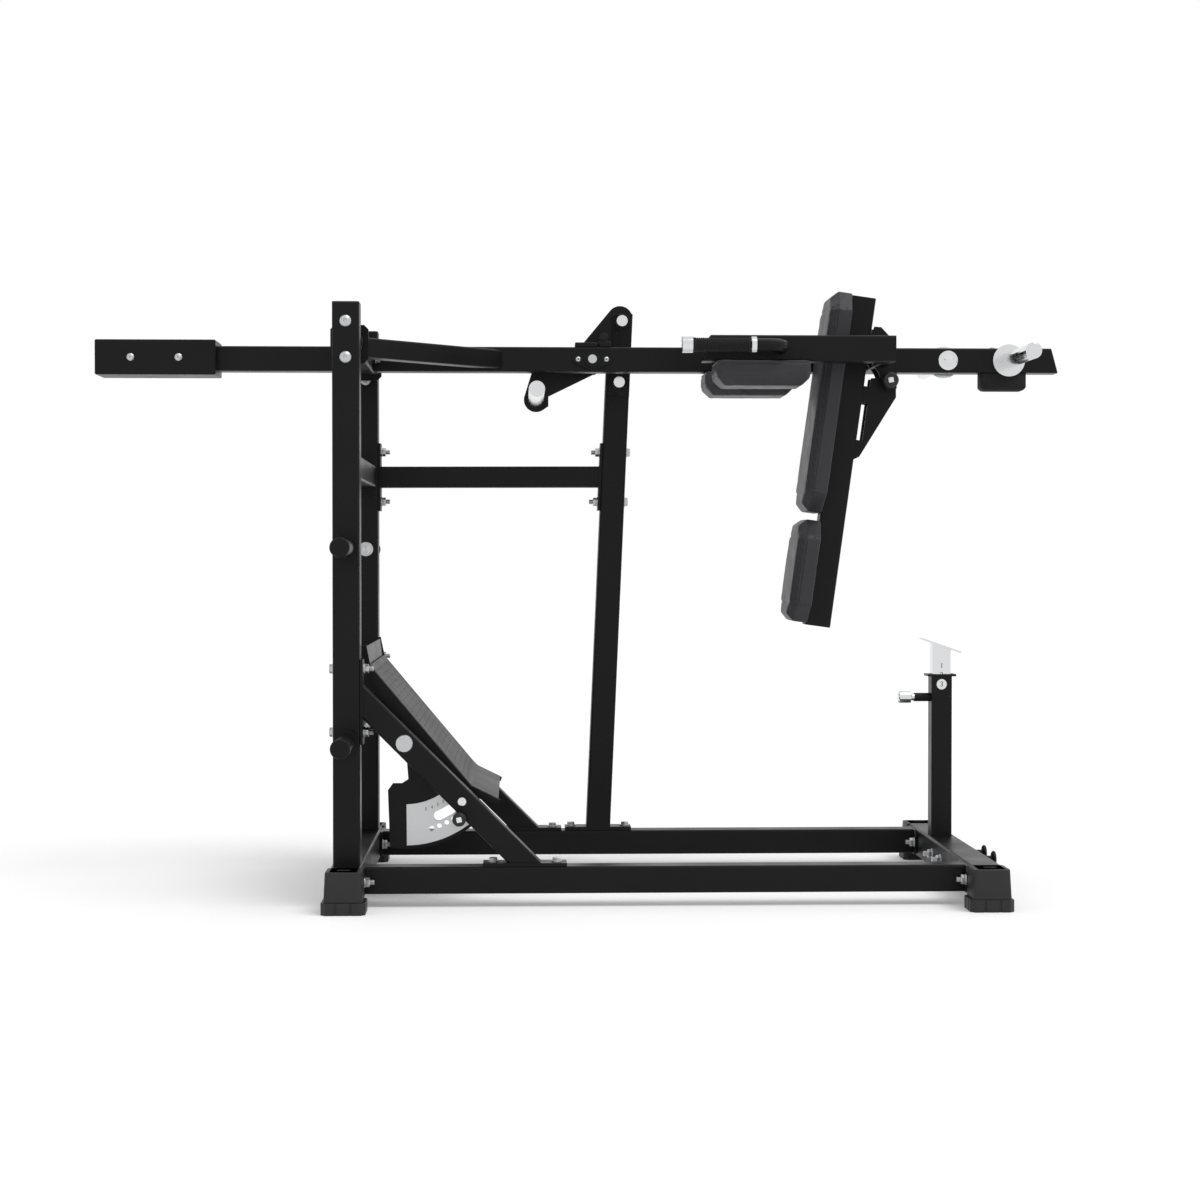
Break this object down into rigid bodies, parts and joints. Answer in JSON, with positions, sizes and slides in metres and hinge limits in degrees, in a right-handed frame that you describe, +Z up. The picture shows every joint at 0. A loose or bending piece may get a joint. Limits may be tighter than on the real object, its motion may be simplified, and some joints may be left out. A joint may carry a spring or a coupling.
{
  "type": "pendulum squat machine",
  "caption": "Steel pendulum squat machine: swing arm with shoulder pads, back rest, counterweight and disc sleeves, tilting footplate, hook release and adjustable catch.",
  "frame": {"origin": "on the floor, at the middle of the machine's box in X and Y; the uprights' centre plane, which holds the arm's pivot, is at X -0.7058", "axes": "+X from the counterweight to the disc sleeves, +Y from the side with the footplate scale to the side with the lock post, +Z up"},
  "size_m": [3.0956, 1.48, 1.8662],
  "materials": {
    "black_paint": "satin",
    "chrome": "polished",
    "zinc": "satin",
    "black_plastic": "matte",
    "black_rubber": "matte",
    "vinyl": "satin",
    "bare_aluminium": "satin"
  },
  "bodies": {
    "frame": {"front_crossmember": "black_paint", "rear_crossmember": "black_paint", "foot_front_near": "black_plastic", "foot_front_far": "black_plastic", "foot_rear_near": "black_plastic", "foot_rear_far": "black_plastic", "base_beam_near": "black_paint", "base_beam_far": "black_paint", "upright_near": "black_paint", "upright_far": "black_paint", "upright_brace": "black_paint", "mid_brace": "black_paint", "footplate_rail_near": "black_paint", "footplate_rail_far": "black_paint", "lock_post": "black_paint", "rack_pin_upper": "chrome", "rack_pin_lower": "chrome", "pivot_bearing_near": "black_paint", "pivot_bearing_far": "black_paint", "storage_horn_upper_near": "black_paint", "storage_horn_upper_far": "black_paint", "storage_horn_lower_near": "black_paint", "storage_horn_lower_far": "black_paint", "catch_post": "black_paint", "band_peg_near": "black_paint", "band_peg_far": "black_paint", "footplate_axle": "zinc"},
    "arm": {"pivot_tube": "black_paint", "pivot_shaft": "zinc", "main_beam": "black_paint", "counterweight_arm": "black_paint", "counterweight": "black_paint", "diagonal_brace": "black_paint", "lever_bearing_near": "black_paint", "lever_bearing_far": "black_paint", "shoulder_frame": "black_paint", "shoulder_pad_near": "vinyl", "shoulder_pad_far": "vinyl", "handle_near": "black_paint", "handle_far": "black_paint", "grip_near": "black_rubber", "grip_far": "black_rubber", "weight_horn_near": "chrome", "weight_horn_far": "chrome", "bumper": "black_rubber", "back_bracket": "black_paint", "back_pivot_pin": "zinc"},
    "lever": {"hook_plate": "black_paint", "lever_shaft": "zinc", "release_bar": "chrome"},
    "back_rest": {"back_post": "black_paint", "back_pad_upper": "vinyl", "back_pad_lower": "vinyl"},
    "back_knob": {"back_clamp_knob": "black_plastic"},
    "foot_rest": {"footplate": "black_paint", "sector_plate": "black_paint", "angle_scale": "bare_aluminium"},
    "foot_pin": {"footplate_lock_pin": "black_plastic"},
    "catch": {"catch_tube": "chrome"},
    "catch_pin": {"catch_lock_pin": "chrome"}
  },
  "joints": [
    {"name": "arm_swing", "type": "hinge", "parent": "frame", "child": "arm", "pos_m": [-0.7058, 0, 1.667], "axis": [0, 1, 0], "range_deg": [-4.6, 23]},
    {"name": "hook_release", "type": "hinge", "parent": "arm", "child": "lever", "pos_m": [0.0375, 0.2965, 1.667], "axis": [0, 1, 0], "range_deg": [-30, 0], "stiffness_Nm_per_rad": 15, "springref_deg": 28.65},
    {"name": "back_tilt", "type": "hinge", "parent": "arm", "child": "back_rest", "pos_m": [0.8672, 0, 1.683], "axis": [0, 1, 0], "range_deg": [-4, 4]},
    {"name": "back_knob_turn", "type": "hinge", "parent": "arm", "child": "back_knob", "pos_m": [0.9612, -0.07, 1.583], "axis": [0, 1, 0], "range_deg": [0, 360]},
    {"name": "footplate_tilt", "type": "hinge", "parent": "frame", "child": "foot_rest", "pos_m": [-0.5367, 0, 0.4821], "axis": [0, 1, 0], "range_deg": [-20, 10]},
    {"name": "footplate_pin", "type": "slide", "parent": "frame", "child": "foot_pin", "axis": [0, -1, 0], "range_m": [0, 0.03], "stiffness_N_per_m": 300, "springref_m": -0.02},
    {"name": "catch_slide", "type": "slide", "parent": "frame", "child": "catch", "axis": [0, 0, -1], "range_m": [-0.12, 0.06]},
    {"name": "catch_pin_pull", "type": "slide", "parent": "frame", "child": "catch_pin", "axis": [-1, 0, 0], "range_m": [0, 0.02], "stiffness_N_per_m": 300, "springref_m": -0.02}
  ]
}
